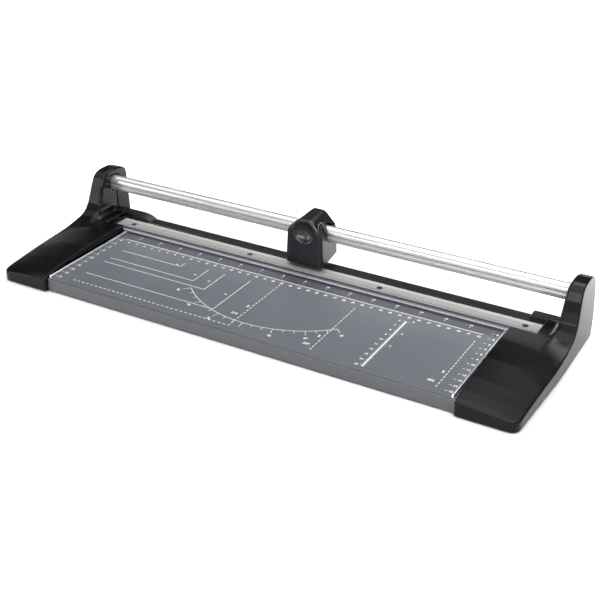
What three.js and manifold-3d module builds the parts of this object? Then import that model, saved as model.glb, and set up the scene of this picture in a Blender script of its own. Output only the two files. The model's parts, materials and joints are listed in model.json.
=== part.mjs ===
// Rotary paper trimmer for A3 sheets, in millimetres.
// +X runs along the guide rail, +Y to the back, +Z up; the origin is on the table under its middle.
import * as THREE from "three";
import { mergeVertices } from "three/addons/utils/BufferGeometryUtils.js";
import Module from "manifold-3d";

const wasm = await Module();
wasm.setup();

// ---- Driving dimensions -------------------------------------------------------------------
const FIT = 0.3; // gap between two pieces that touch on the real trimmer
const SHEET_TOP = 15; // height of the cutting surface above the table

// Bed
const BED_HALF = 221;
const BED_FRONT = -94;
const BED_REAR = 80;
const BED_PLATE = 1.6;
const BED_TOP = 14.3;
const LEDGE_FRONT = 42.6;
const LEDGE_TOP = 12.2;
const BED_FLANGE_FOOT = 1.3;
const SHEET_HALF = 216.5;
const SHEET_REAR = 32.5;
const GUIDE_WIDTH = 2.4;
const GUIDE_TOP = 18;

// Cutting line
const CUT_Y = 64.8;
const STRIP_HALF = 243;
const STRIP_FRONT = 43;
const STRIP_SCREW_Y = 55.7;
const STRIP_SCREWS_X = [-225.5, -74, 77.5, 229];
const BACKING_FRONT = 67;

// Clear clamp bar
const CLAMP_HALF = 245;
const CLAMP_FRONT = 33.2;
const CLAMP_REAR = 64.4;
const CLAMP_UNDER = 15.7;
const CLAMP_TOP = 17.3;
const CLAMP_PIN_X = 239;
const CLAMP_PIN_Y = 40;

// End caps and towers, for the right-hand side
const CAP_INNER = 221.5;
const CAP_OUTER_FRONT = 278;
const CAP_OUTER_REAR = 282;
const CAP_HALF_DEPTH = 98;
const CAP_FOOT = 0.8;
const CAP_WALL = 2.5;
const SHELF_INNER_TOP = 24.5;
const SHELF_OUTER_TOP = 18;
const NOTCH_FRONT = 32.7;
const NOTCH_OUTER = 246.3;
const TOWER_INNER_LOW = 261;
const TOWER_INNER_HIGH = 263.5;
const TOWER_TOP = 67;
const TOWER_INNER_WALL = 7.5;

// Guide rail
const RAIL_Y = 74.5;
const RAIL_Z = 52.2;
const RAIL_HALF_WIDTH = 6.7;
const RAIL_LEDGE_HALF_WIDTH = 7.2;
const RAIL_HALF_HEIGHT = 7.1;
const RAIL_CORE = 2.6;
const RAIL_END = 267;

// Cutter head
const HEAD_X = -8; // where the head is parked on the rail
const PRESS_TRAVEL = 2; // how far the cover and the blade go down
const COVER_WALL = 2.2;
const COVER_UNDER = 19.8;
const COVER_HALF = 22;
const COVER_FRONT = 51.4;
const COVER_REAR = 88;
const COVER_FRONT_ROUND = 5;
const COVER_REAR_ROUND = 3;
const COVER_EAVES = 54.5; // where its two sides start to slope in
const COVER_TOP = 71.6;
const PLATEAU_HALF = 5.5;
const PLATEAU_FRONT = 69.3; // height of the top at its front edge
const BROW_FRONT = [COVER_FRONT + 1.2, 66]; // where the front bends back to the plateau
const BROW_FOOT = [COVER_FRONT, 56];
const CREST_BEVEL = 3;
const THUMB_DISH = { radius: 17, at: [0, 40.6, 57.2] };
const SIDE_DISH = { radius: 12, at: [24.1, 65, 62.5] };
const COLLAR = 3; // the cover keeps this much round the rail where a side dish meets it
const BLADE_SIDE_REAR = 66.9; // behind this the cover clears the end blocks
const SADDLE_HALF = 8;
const SADDLE_SPREAD = 3.2;
const SADDLE_WAY = 1.6;

// Springs, shoe and screws of the head
const SPRING_X = 8;
const SPRING_Y = 61.6;
const SPRING_RADIUS = 1.6;
const SPRING_WIRE = 0.4;
const SPRING_TURNS = 4;
const SPRING_FOOT = 46.4;
const SPRING_SEAT = 58;
const SHOE_HALF = 18;
const SHOE_SPAN = [54.2, 57.6];
const SHOE_UNDER = 19;
const SHOE_TOP = 21.7;
const CARRIER_SPAN = [60.3, 62.8];
const CARRIER_SCREW_X = 6.5;
const CARRIER_SCREW_Z = 38;
const RETAINER_X = 4.5;
const SCREW_SHANK = 1.3; // radius of the small screws in the head
const SCREW_HOLE = 1.6;
const EAR = { half: 2.6, span: [59.4, 66], thick: 1.5 }; // carries a grip spring
const SHOE_RIB = { half: 20.4, span: [53, 58.6], top: 25 };
const HUB_SLEEVE = 3.6; // radius that carries the blade
const BUSH_SPANS = [
  [-7.7, -4.2],
  [4.2, 7.7],
];

// Blade
const BLADE_RADIUS = 14;
const BLADE_DIP = 1; // how far the pressed blade reaches under the cutting surface
const BLADE_FRONT = 64.95;
const BLADE_THICK = 0.4;
const BLADE_Z = SHEET_TOP - BLADE_DIP + BLADE_RADIUS + PRESS_TRAVEL;
const AXLE_RADIUS = 2;

// ---- Materials ----------------------------------------------------------------------------
function finish(color, roughness, metalness, opacity = 1) {
  const transparent = opacity < 1;
  return new THREE.MeshStandardMaterial({ color, roughness, metalness, opacity, transparent });
}
const bedMetal = finish(0x8d8a94, 0.4, 0.7);
const printedSheet = finish(0x77828c, 0.5, 0);
const aluminium = finish(0xc9c9c4, 0.3, 1);
const steel = finish(0xd8d6ce, 0.25, 1);
const springSteel = finish(0x9a9a9a, 0.35, 1);
const blackPlastic = finish(0x1d1c20, 0.45, 0);
const gripPlastic = finish(0x262429, 0.35, 0);
const nylon = finish(0xe4e2da, 0.5, 0);
const clearPlastic = finish(0xe8ecef, 0.08, 0, 0.35);
const darkScrew = finish(0x3a3a3c, 0.4, 0.8);
const rubber = finish(0x141414, 0.9, 0);
const felt = finish(0x3c3b3d, 0.95, 0);

// ---- Solids -------------------------------------------------------------------------------
// A closed three.js geometry as a manifold-3d solid.
function solid(geometry) {
  const bare = geometry.clone();
  bare.deleteAttribute("normal");
  bare.deleteAttribute("uv");
  const merged = mergeVertices(bare, 1e-4);
  const vertProperties = merged.attributes.position.array;
  const triVerts = new Uint32Array(merged.index.array);
  return new wasm.Manifold(new wasm.Mesh({ numProp: 3, vertProperties, triVerts }));
}

// A manifold-3d solid as a three.js geometry with flat faces.
function geometryOf(made) {
  const mesh = made.getMesh();
  const geometry = new THREE.BufferGeometry();
  geometry.setAttribute("position", new THREE.BufferAttribute(mesh.vertProperties, 3));
  geometry.setIndex(new THREE.BufferAttribute(mesh.triVerts, 1));
  const flat = geometry.toNonIndexed();
  flat.computeVertexNormals();
  return flat;
}

function join(first, ...others) {
  return others.reduce((whole, part) => whole.add(part), first);
}

function cut(first, ...others) {
  return others.reduce((whole, part) => whole.subtract(part), first);
}

function block([x0, x1], [y0, y1], [z0, z1]) {
  const geometry = new THREE.BoxGeometry(x1 - x0, y1 - y0, z1 - z0);
  return solid(geometry.translate((x0 + x1) / 2, (y0 + y1) / 2, (z0 + z1) / 2));
}

// An outline carried along one axis from one place to another. Its points are (y, z) along x,
// (x, z) along y and (x, y) along z.
function prism(axis, points, [from, to]) {
  const outline = new THREE.Shape(points.map(([u, v]) => new THREE.Vector2(u, v)));
  const geometry = new THREE.ExtrudeGeometry(outline, { depth: to - from, bevelEnabled: false });
  const turn = new THREE.Matrix4();
  if (axis === "x") turn.set(0, 0, 1, from, 1, 0, 0, 0, 0, 1, 0, 0, 0, 0, 0, 1);
  if (axis === "y") turn.set(1, 0, 0, 0, 0, 0, -1, to, 0, 1, 0, 0, 0, 0, 0, 1);
  if (axis === "z") turn.set(1, 0, 0, 0, 0, 1, 0, 0, 0, 0, 1, from, 0, 0, 0, 1);
  return solid(geometry.applyMatrix4(turn));
}

// A cylinder or cone along one axis, through the point (a, b) of the two other axes in order.
function rod(axis, radius, [from, to], [a, b], sides = 20, endRadius = radius) {
  const geometry = new THREE.CylinderGeometry(endRadius, radius, to - from, sides);
  const middle = (from + to) / 2;
  if (axis === "x") geometry.rotateZ(-Math.PI / 2).translate(middle, a, b);
  if (axis === "y") geometry.translate(a, middle, b);
  if (axis === "z") geometry.rotateX(Math.PI / 2).translate(a, b, middle);
  return solid(geometry);
}

function ball(radius, [x, y, z], sides = 20) {
  return solid(new THREE.SphereGeometry(radius, sides, sides / 2).translate(x, y, z));
}

// Points on a curve between two points, pulled towards one or two control points.
function sweep(start, controls, end, steps) {
  const [a, b, c, d] = [start, ...controls, end].map(([u, v]) => new THREE.Vector2(u, v));
  const curve = d ? new THREE.CubicBezierCurve(a, b, c, d) : new THREE.QuadraticBezierCurve(a, b, c);
  return curve.getPoints(steps).map((point) => [point.x, point.y]);
}

// Points on an arc round a centre, in degrees.
function arc([u, v], radiusU, radiusV, startAngle, endAngle, steps) {
  return Array.from({ length: steps + 1 }, (_, i) => {
    const angle = THREE.MathUtils.degToRad(startAngle + ((endAngle - startAngle) * i) / steps);
    return [u + radiusU * Math.cos(angle), v + radiusV * Math.sin(angle)];
  });
}

const trimmer = new THREE.Group();
const leftSide = new THREE.Group();
const rightSide = new THREE.Group();
const head = new THREE.Group();
leftSide.scale.x = -1;
head.position.x = HEAD_X;
trimmer.add(leftSide, rightSide, head);

function piece(name, made, material, parent = trimmer) {
  const mesh = new THREE.Mesh(geometryOf(made), material);
  mesh.name = name;
  parent.add(mesh);
  return mesh;
}

// ---- Bed ----------------------------------------------------------------------------------
// A folded channel with a lower ledge at the back for the cutting strip and its backing.
function bedPlate() {
  const inner = BED_PLATE;
  const profile = [
    [BED_FRONT, BED_FLANGE_FOOT],
    [BED_FRONT + inner, BED_FLANGE_FOOT],
    [BED_FRONT + inner, BED_TOP - inner],
    [LEDGE_FRONT - inner, BED_TOP - inner],
    [LEDGE_FRONT - inner, LEDGE_TOP - inner],
    [BED_REAR - inner, LEDGE_TOP - inner],
    [BED_REAR - inner, BED_FLANGE_FOOT],
    [BED_REAR, BED_FLANGE_FOOT],
    [BED_REAR, LEDGE_TOP],
    [LEDGE_FRONT, LEDGE_TOP],
    [LEDGE_FRONT, BED_TOP],
    [BED_FRONT + inner, BED_TOP],
    [BED_FRONT, BED_TOP - inner],
  ];
  const channel = prism("x", profile, [-BED_HALF, BED_HALF]);
  const drilled = STRIP_SCREWS_X.filter((x) => Math.abs(x) < BED_HALF).map((x) =>
    rod("z", 1.8, [LEDGE_TOP - 3, LEDGE_TOP + 1], [x, STRIP_SCREW_Y], 16),
  );
  return cut(channel, ...drilled);
}

function sideGuide() {
  const outer = SHEET_HALF + FIT + GUIDE_WIDTH;
  const profile = [
    [outer - GUIDE_WIDTH, BED_TOP + FIT],
    [outer, BED_TOP + FIT],
    ...arc([outer - GUIDE_WIDTH / 2, GUIDE_TOP - 1], GUIDE_WIDTH / 2, 1, 0, 180, 6),
  ];
  return prism("y", profile, [BED_FRONT + 0.8, SHEET_REAR]);
}

function stripScrewHole(x) {
  const countersink = rod("z", 1.8, [13, SHEET_TOP + 0.1], [x, STRIP_SCREW_Y], 16, 3.6);
  const hole = rod("z", 1.8, [LEDGE_TOP, SHEET_TOP], [x, STRIP_SCREW_Y], 16);
  return join(countersink, hole);
}

function stripScrew(x) {
  const countersunkHead = rod("z", 1.4, [13.2, 14.8], [x, STRIP_SCREW_Y], 16, 3);
  const shank = rod("z", 1.4, [8.4, 13.4], [x, STRIP_SCREW_Y], 16);
  const slot = block([x - 3, x + 3], [STRIP_SCREW_Y - 0.4, STRIP_SCREW_Y + 0.4], [14.2, 15]);
  return cut(join(countersunkHead, shank), slot);
}

const RIGHT_BLOCK_INNER = 228.5;
const LEFT_BLOCK_INNER = -212;

piece("bed_plate", bedPlate(), bedMetal);
piece(
  "grid_sheet",
  block([-SHEET_HALF, SHEET_HALF], [BED_FRONT + 0.5, SHEET_REAR], [BED_TOP + FIT, SHEET_TOP]),
  printedSheet,
);
piece("side_guide_left", sideGuide(), aluminium, leftSide);
piece("side_guide_right", sideGuide(), aluminium, rightSide);
piece(
  "steel_cutting_strip",
  cut(
    block([-STRIP_HALF, STRIP_HALF], [STRIP_FRONT, CUT_Y], [LEDGE_TOP + FIT, SHEET_TOP]),
    ...STRIP_SCREWS_X.map(stripScrewHole),
  ),
  steel,
);
STRIP_SCREWS_X.forEach((x, i) => piece(`strip_screw_${i + 1}`, stripScrew(x), darkScrew));
piece(
  "rear_backing_strip",
  block(
    [LEFT_BLOCK_INNER + FIT, RIGHT_BLOCK_INNER - FIT],
    [BACKING_FRONT, BED_REAR - FIT],
    [LEDGE_TOP + FIT, SHEET_TOP],
  ),
  blackPlastic,
);

// ---- Clear clamp bar ----------------------------------------------------------------------
function clampBar() {
  const profile = [
    [CLAMP_FRONT, CLAMP_UNDER],
    [CLAMP_REAR, CLAMP_UNDER],
    [CLAMP_REAR, CLAMP_TOP],
    [CLAMP_FRONT + 12.5, CLAMP_TOP],
    [CLAMP_FRONT + 11.5, CLAMP_TOP - 0.5],
    [CLAMP_FRONT + 9.5, CLAMP_TOP - 0.5],
    [CLAMP_FRONT + 8.5, CLAMP_TOP],
    [CLAMP_FRONT + 5, CLAMP_TOP],
    [CLAMP_FRONT, CLAMP_UNDER + 0.5],
  ];
  const pinHoles = [-1, 1].map((side) =>
    rod("z", 1.9, [CLAMP_UNDER - 1, CLAMP_TOP + 1], [side * CLAMP_PIN_X, CLAMP_PIN_Y], 16),
  );
  return cut(prism("x", profile, [-CLAMP_HALF, CLAMP_HALF]), ...pinHoles);
}

function clampPin() {
  const shank = rod("z", 1.5, [LEDGE_TOP - 2, CLAMP_TOP + 0.5], [CLAMP_PIN_X, CLAMP_PIN_Y], 16);
  const pinHead = rod("z", 2.9, [CLAMP_TOP + FIT, CLAMP_TOP + 1], [CLAMP_PIN_X, CLAMP_PIN_Y], 16);
  return join(shank, pinHead);
}

// A bowed leaf that holds one end of the clamp bar up.
function clampSpring() {
  const thick = 0.3;
  const under = LEDGE_TOP + FIT;
  const rise = 2 * (CLAMP_UNDER - FIT - thick - under);
  const bow = (height) => sweep([224, height], [[230.5, height + rise]], [237, height], 8);
  return prism("y", [...bow(under), ...bow(under + thick).reverse()], [34.2, 37.6]);
}

piece("clamp_bar", clampBar(), clearPlastic);
piece("clamp_pin_left", clampPin(), darkScrew, leftSide);
piece("clamp_pin_right", clampPin(), darkScrew, rightSide);

// ---- End caps -----------------------------------------------------------------------------
// The outer form of one cap, or, with an inset, the form of the hollow inside it.
function capForm(inset) {
  const inner = CAP_INNER + inset;
  const front = -CAP_HALF_DEPTH + inset;
  const rear = CAP_HALF_DEPTH - inset;
  const frontOuter = CAP_OUTER_FRONT - inset;
  const rearOuter = CAP_OUTER_REAR - inset;
  const towerWall = inset > 0 ? TOWER_INNER_WALL : 0;
  const foot = inset > 0 ? -1 : CAP_FOOT;
  const shoulder = inset > 0 ? 0.5 : 3;
  const plan = [
    [inner, front],
    ...arc([frontOuter - 9, front + 9], 9, 9, -90, 0, 5),
    [rearOuter - 0.6, 0],
    ...arc([rearOuter - 5, rear - 5], 5, 5, 0, 90, 3),
    [TOWER_INNER_LOW + towerWall, rear],
    [TOWER_INNER_LOW + towerWall, BED_REAR - inset],
    [inner, BED_REAR - inset],
  ];
  const shelfSide = [
    [front, foot],
    [rear, foot],
    [rear, 22.4 - inset],
    [32, 23.6 - inset],
    ...sweep([8, SHELF_INNER_TOP - inset], [[-50, SHELF_INNER_TOP - inset]], [-92, 17.6 - inset], 6),
    [front, 14 - inset],
  ];
  const shelfEnd = [
    [inner, foot],
    [rearOuter, foot],
    [rearOuter, SHELF_OUTER_TOP - 2 - inset],
    [rearOuter - 5, SHELF_OUTER_TOP - inset],
    [inner, SHELF_INNER_TOP - inset],
  ];
  const towerSide = [
    [rear, foot],
    ...sweep([rear - 2, 55], [[rear - 2.5, 63 - inset]], [rear - 10, 65.2 - inset], 3),
    [72, TOWER_TOP - inset],
    ...sweep([63 + inset, TOWER_TOP - 0.6 - inset], [[55 + inset, 65 - inset]], [52 + inset, 54], 4),
    ...sweep([50 + inset, 48], [[45 + inset, 21], [30 + inset, 19]], [10, 17], 8).slice(1),
    [10, foot],
  ];
  const towerEnd = [
    [TOWER_INNER_LOW + towerWall, foot],
    [rearOuter, foot],
    [rearOuter - 3, TOWER_TOP - 4],
    [rearOuter - 3 - shoulder, TOWER_TOP],
    [TOWER_INNER_HIGH + towerWall + shoulder, TOWER_TOP],
    [TOWER_INNER_HIGH + towerWall, TOWER_TOP - 4],
    [TOWER_INNER_LOW + towerWall, 20],
  ];
  const across = [CAP_INNER - 5, CAP_OUTER_REAR + 5];
  const along = [-CAP_HALF_DEPTH - 5, CAP_HALF_DEPTH + 5];
  const shelf = prism("x", shelfSide, across).intersect(prism("y", shelfEnd, along));
  const tower = prism("x", towerSide, across).intersect(prism("y", towerEnd, along));
  const footprint = prism("z", plan, [foot, TOWER_TOP + 5]);
  const clampNotch = block(
    [CAP_INNER - 5, NOTCH_OUTER + inset],
    [NOTCH_FRONT - inset, BED_REAR + 5],
    [LEDGE_TOP - inset, TOWER_TOP],
  );
  const blockSeat = block(
    [CAP_INNER - 5, TOWER_INNER_LOW + towerWall],
    [BACKING_FRONT - inset, BED_REAR + 5],
    [LEDGE_TOP - inset, TOWER_TOP],
  );
  return join(cut(shelf, clampNotch, blockSeat), tower).intersect(footprint);
}

const COVER_SCREWS = [
  [250, -60],
  [262, 20],
];
const FEET = [
  [252, -82],
  [246, 68],
];

// Section of the rail as a plain sleeve, larger all round by a margin and stretched upwards by a lift.
function sleeveSection(margin, lift = 0) {
  const halfWidth = RAIL_LEDGE_HALF_WIDTH + margin;
  return [
    [RAIL_Y - halfWidth, RAIL_Z - RAIL_HALF_HEIGHT - margin],
    [RAIL_Y + halfWidth, RAIL_Z - RAIL_HALF_HEIGHT - margin],
    ...arc([RAIL_Y, RAIL_Z + lift], halfWidth, RAIL_HALF_HEIGHT + margin, 0, 180, 10),
  ];
}

function endCap() {
  const shell = cut(capForm(0), capForm(CAP_WALL));
  const bosses = COVER_SCREWS.map(([x, y]) => rod("z", 4, [4, 18.5], [x, y], 16));
  const bossHoles = COVER_SCREWS.map(([x, y]) => rod("z", 1.7, [3, 14], [x, y], 12));
  const railPocket = prism("x", sleeveSection(FIT), [TOWER_INNER_LOW - 4, RAIL_END + 0.4]);
  const boltHole = rod("x", 2.7, [RAIL_END, RAIL_END + 5], [RAIL_Y, RAIL_Z], 16);
  const pinHole = rod("z", 1.8, [LEDGE_TOP - 4, LEDGE_TOP + 1], [CLAMP_PIN_X, CLAMP_PIN_Y], 16);
  const screwHole = rod("z", 1.8, [LEDGE_TOP - 4, LEDGE_TOP + 1], [229, STRIP_SCREW_Y], 16);
  const leftScrewHole = rod("z", 1.8, [LEDGE_TOP - 4, LEDGE_TOP + 1], [225.5, STRIP_SCREW_Y], 16);
  return cut(
    join(shell, ...bosses),
    ...bossHoles,
    railPocket,
    boltHole,
    pinHole,
    screwHole,
    leftScrewHole,
  );
}

function bottomCover() {
  const inset = CAP_WALL + 0.4;
  const slab = block([0, CAP_OUTER_REAR], [-CAP_HALF_DEPTH, CAP_HALF_DEPTH], [1.5, 3.5]);
  const plate = capForm(inset).intersect(slab);
  const holes = COVER_SCREWS.flatMap(([x, y]) => [
    rod("z", 1.7, [1, 4], [x, y], 12),
    rod("z", 3.1, [1, 2.3], [x, y], 16),
  ]);
  return cut(plate, ...holes);
}

function coverScrew([x, y]) {
  const shank = rod("z", 1.4, [1.5, 12], [x, y], 12);
  const panHead = rod("z", 2.8, [0.9, 2], [x, y], 16);
  const slot = block([x - 2, x + 2], [y - 0.35, y + 0.35], [0.5, 1.3]);
  return cut(join(shank, panHead), slot);
}

function rubberFoot([x, y]) {
  return rod("z", 6, [0, 1.2], [x, y], 20);
}

function railBolt() {
  const shank = rod("x", 2.2, [RAIL_END - 14, RAIL_END + 4.4], [RAIL_Y, RAIL_Z], 16);
  const boltHead = rod("x", 4.4, [RAIL_END + 4, RAIL_END + 6.4], [RAIL_Y, RAIL_Z], 16);
  return join(shank, boltHead);
}

for (const [side, parent] of [
  ["left", leftSide],
  ["right", rightSide],
]) {
  piece(`clamp_spring_${side}`, clampSpring(), springSteel, parent);
  piece(`${side}_end_cap`, endCap(), blackPlastic, parent);
  piece(`${side}_bottom_cover`, bottomCover(), blackPlastic, parent);
  piece(`rail_bolt_${side}`, railBolt(), darkScrew, parent);
  COVER_SCREWS.forEach((at, i) => piece(`cover_screw_${side}_${i + 1}`, coverScrew(at), darkScrew, parent));
  FEET.forEach((at, i) => piece(`rubber_foot_${side}_${i + 1}`, rubberFoot(at), rubber, parent));
}

// Blocks at the ends of the backing strip. The left one runs down to the strip in a ramp.
const END_BLOCK_TOP = 20;
const END_BLOCK_SPAN = [BACKING_FRONT + 0.3, BED_REAR - FIT];

function rightEndBlock() {
  const profile = [
    [RIGHT_BLOCK_INNER, LEDGE_TOP + FIT],
    [TOWER_INNER_LOW - FIT, LEDGE_TOP + FIT],
    [TOWER_INNER_LOW - FIT, END_BLOCK_TOP],
    [RIGHT_BLOCK_INNER + 1, END_BLOCK_TOP],
    [RIGHT_BLOCK_INNER, END_BLOCK_TOP - 1],
  ];
  return prism("y", profile, END_BLOCK_SPAN);
}

function leftEndBlock() {
  const floor = LEDGE_TOP + FIT;
  const profile = [
    [-TOWER_INNER_LOW + FIT, floor],
    [LEFT_BLOCK_INNER, floor],
    ...sweep([LEFT_BLOCK_INNER, 15.4], [[-218, END_BLOCK_TOP]], [-230, END_BLOCK_TOP], 6),
    [-TOWER_INNER_LOW + FIT, END_BLOCK_TOP],
  ];
  return prism("y", profile, END_BLOCK_SPAN);
}

piece("left_end_block", leftEndBlock(), blackPlastic);
piece("right_end_block", rightEndBlock(), blackPlastic);

// ---- Guide rail ---------------------------------------------------------------------------
// Round-topped extrusion with a ledge along each side and a round core for the end bolts.
function guideRail() {
  const ledge = RAIL_LEDGE_HALF_WIDTH;
  const half = [
    [ledge - 0.6, -RAIL_HALF_HEIGHT],
    [ledge, -RAIL_HALF_HEIGHT + 0.6],
    [ledge, -2.9],
    [ledge - 1, -1.5],
    [5.8, -1.4],
    [5.8, -0.8],
    [6.5, -0.5],
  ];
  const crown = arc([0, 0], RAIL_HALF_WIDTH, RAIL_HALF_HEIGHT, 0, 180, 14);
  const mirrored = half.map(([y, z]) => [-y, z]).reverse();
  const section = [...half, ...crown, ...mirrored].map(([y, z]) => [RAIL_Y + y, RAIL_Z + z]);
  const bar = prism("x", section, [-RAIL_END, RAIL_END]);
  const core = rod("x", RAIL_CORE, [-RAIL_END - 1, RAIL_END + 1], [RAIL_Y, RAIL_Z], 16);
  return cut(bar, core);
}

piece("guide_rail", guideRail(), aluminium);

// ---- Cutter head, about its own middle ----------------------------------------------------
// The carriage: a saddle round the rail with two ears in front for the springs.
function headCarriage() {
  const along = [-SADDLE_HALF, SADDLE_HALF];
  const saddle = prism("x", sleeveSection(SADDLE_SPREAD), along);
  const ears = [-SPRING_X, SPRING_X].map((x) =>
    block([x - EAR.half, x + EAR.half], EAR.span, [SPRING_FOOT - EAR.thick, SPRING_FOOT]),
  );
  const railWay = prism("x", sleeveSection(SADDLE_WAY), [-40, 40]);
  const bladeGap = block([-40, 40], [50, 66.6], [30, SPRING_FOOT - EAR.thick]);
  const screwHoles = [-RETAINER_X, RETAINER_X].map((x) => rod("y", SCREW_HOLE, [82, 86], [x, RAIL_Z], 12));
  return cut(join(saddle, ...ears), railWay, bladeGap, ...screwHoles);
}

function glideBush([from, to]) {
  const outer = prism("x", sleeveSection(SADDLE_WAY - FIT), [from, to]);
  const inner = prism("x", sleeveSection(FIT), [from - 1, to + 1]);
  return outer.subtract(inner);
}

// A coil of round wire, standing up.
class Coil extends THREE.Curve {
  constructor(radius, bottom, top, turns) {
    super();
    Object.assign(this, { radius, bottom, top, turns });
  }
  getPoint(t, target = new THREE.Vector3()) {
    const angle = 2 * Math.PI * this.turns * t;
    const height = this.bottom + (this.top - this.bottom) * t;
    return target.set(this.radius * Math.cos(angle), this.radius * Math.sin(angle), height);
  }
}

function gripSpring(x) {
  const bottom = SPRING_FOOT + SPRING_WIRE + FIT;
  const top = SPRING_SEAT - SPRING_WIRE - FIT;
  const section = arc([0, 0], SPRING_WIRE, SPRING_WIRE, 0, 288, 4);
  const wire = new THREE.Shape(section.map(([u, v]) => new THREE.Vector2(u, v)));
  const extrudePath = new Coil(SPRING_RADIUS, bottom, top, SPRING_TURNS);
  const steps = SPRING_TURNS * 9;
  return solid(new THREE.ExtrudeGeometry(wire, { steps, extrudePath }).translate(x, SPRING_Y, 0));
}

// A convex outline with every edge moved in by an inset.
function drawnIn(points, inset) {
  const edges = points.map(([u0, v0], i) => {
    const [u1, v1] = points[(i + 1) % points.length];
    const length = Math.hypot(u1 - u0, v1 - v0);
    const [normalU, normalV] = [(v0 - v1) / length, (u1 - u0) / length];
    return [normalU, normalV, normalU * u0 + normalV * v0 + inset];
  });
  return edges.map(([u, v, offset], i) => {
    const [beforeU, beforeV, beforeOffset] = edges.at(i - 1);
    const across = beforeU * v - beforeV * u;
    return [(beforeOffset * v - offset * beforeV) / across, (offset * beforeU - beforeOffset * u) / across];
  });
}

// Square column with a plateau on top, sloping sides and rounded corners. With an inset it is
// drawn in and runs out below, to hollow the cover.
function coverForm(inset) {
  const foot = inset > 0 ? COVER_UNDER - inset - 3 : COVER_UNDER;
  const [frontRound, rearRound] = [COVER_FRONT_ROUND, COVER_REAR_ROUND];
  const frontCorner = [COVER_HALF - frontRound, COVER_FRONT + frontRound];
  const rearCorner = [COVER_HALF - rearRound, COVER_REAR - rearRound];
  const plan = [
    ...arc([-frontCorner[0], frontCorner[1]], frontRound, frontRound, 180, 270, 5),
    ...arc(frontCorner, frontRound, frontRound, 270, 360, 5),
    ...arc(rearCorner, rearRound, rearRound, 0, 90, 4),
    ...arc([-rearCorner[0], rearCorner[1]], rearRound, rearRound, 90, 180, 4),
  ];
  const acrossRail = [
    [-COVER_HALF, foot],
    [COVER_HALF, foot],
    [COVER_HALF, COVER_EAVES],
    [PLATEAU_HALF, COVER_TOP],
    [-PLATEAU_HALF, COVER_TOP],
    [-COVER_HALF, COVER_EAVES],
  ];
  const side = [
    [COVER_FRONT, foot],
    [COVER_REAR, foot],
    [COVER_REAR, COVER_TOP - CREST_BEVEL],
    [COVER_REAR - CREST_BEVEL, COVER_TOP],
    [COVER_FRONT + 4, PLATEAU_FRONT],
    BROW_FRONT,
    BROW_FOOT,
  ];
  return prism("z", drawnIn(plan, inset), [foot, COVER_TOP])
    .intersect(prism("y", drawnIn(acrossRail, inset), [COVER_FRONT, COVER_REAR]))
    .intersect(prism("x", drawnIn(side, inset), [-COVER_HALF, COVER_HALF]));
}

function dishes(wall) {
  const [sideX, sideY, sideZ] = SIDE_DISH.at;
  const sides = [-sideX, sideX].map((x) => ball(SIDE_DISH.radius + wall, [x, sideY, sideZ]));
  const collar = prism("x", sleeveSection(COLLAR - wall, PRESS_TRAVEL), [-40, 40]);
  return join(ball(THUMB_DISH.radius + wall, THUMB_DISH.at, 24), cut(join(...sides), collar));
}

// The cover and knob in one moulding, hollow and open below.
function headCover() {
  const wide = [-40, 40];
  const inside = coverForm(COVER_WALL).subtract(dishes(COVER_WALL));
  const springSeats = [-SPRING_X, SPRING_X].map((x) =>
    rod("z", EAR.half, [SPRING_SEAT, 75], [x, SPRING_Y], 14),
  );
  const bosses = [-CARRIER_SCREW_X, CARRIER_SCREW_X].map((x) =>
    rod("y", 3, [52.5, CARRIER_SPAN[0] - FIT], [x, CARRIER_SCREW_Z], 16),
  );
  const shoeRib = block([-SHOE_RIB.half, SHOE_RIB.half], SHOE_RIB.span, [COVER_UNDER, SHOE_RIB.top]);
  const fittings = join(shoeRib, ...springSeats, ...bosses).intersect(coverForm(COVER_WALL / 2));
  const shoePocket = block(
    [-SHOE_HALF - FIT, SHOE_HALF + FIT],
    [SHOE_SPAN[0] - FIT, SHOE_SPAN[1] + FIT],
    [COVER_UNDER - 1, SHOE_TOP + FIT],
  );
  const rearUnder = [
    [BLADE_SIDE_REAR, 10],
    [BLADE_SIDE_REAR, 22.4],
    [84, 25.6],
    [95, 27],
    [95, 10],
  ];
  const railSlot = prism("x", sleeveSection(0.8, PRESS_TRAVEL), wide);
  const carrierHoles = [-CARRIER_SCREW_X, CARRIER_SCREW_X].map((x) =>
    rod("y", SCREW_HOLE, [55.5, 62], [x, CARRIER_SCREW_Z], 12),
  );
  const retainerSlots = [-RETAINER_X, RETAINER_X].map((x) =>
    block([x - 1.8, x + 1.8], [84.5, 90], [RAIL_Z - 1.8, RAIL_Z + 1.8 + PRESS_TRAVEL]),
  );
  return cut(
    join(cut(coverForm(0), inside), fittings),
    dishes(0),
    shoePocket,
    prism("x", rearUnder, wide),
    railSlot,
    ...carrierHoles,
    ...retainerSlots,
  );
}

function retainerScrew(x) {
  const shank = rod("y", SCREW_SHANK, [83.6, 88.6], [x, RAIL_Z], 12);
  const panHead = rod("y", 3, [88.3, 89.9], [x, RAIL_Z], 20, 2.6);
  const slot = block([x - 2, x + 2], [89.4, 91], [RAIL_Z - 0.35, RAIL_Z + 0.35]);
  return cut(join(shank, panHead), slot);
}

function bladeCarrier() {
  const plate = block([-9, 9], CARRIER_SPAN, [22, 43]);
  const axleHole = rod("y", AXLE_RADIUS + FIT, [59, 64], [0, BLADE_Z], 20);
  const screwHoles = [-CARRIER_SCREW_X, CARRIER_SCREW_X].map((x) =>
    rod("y", SCREW_HOLE, [59, 64], [x, CARRIER_SCREW_Z], 12),
  );
  return cut(plate, axleHole, ...screwHoles);
}

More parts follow.
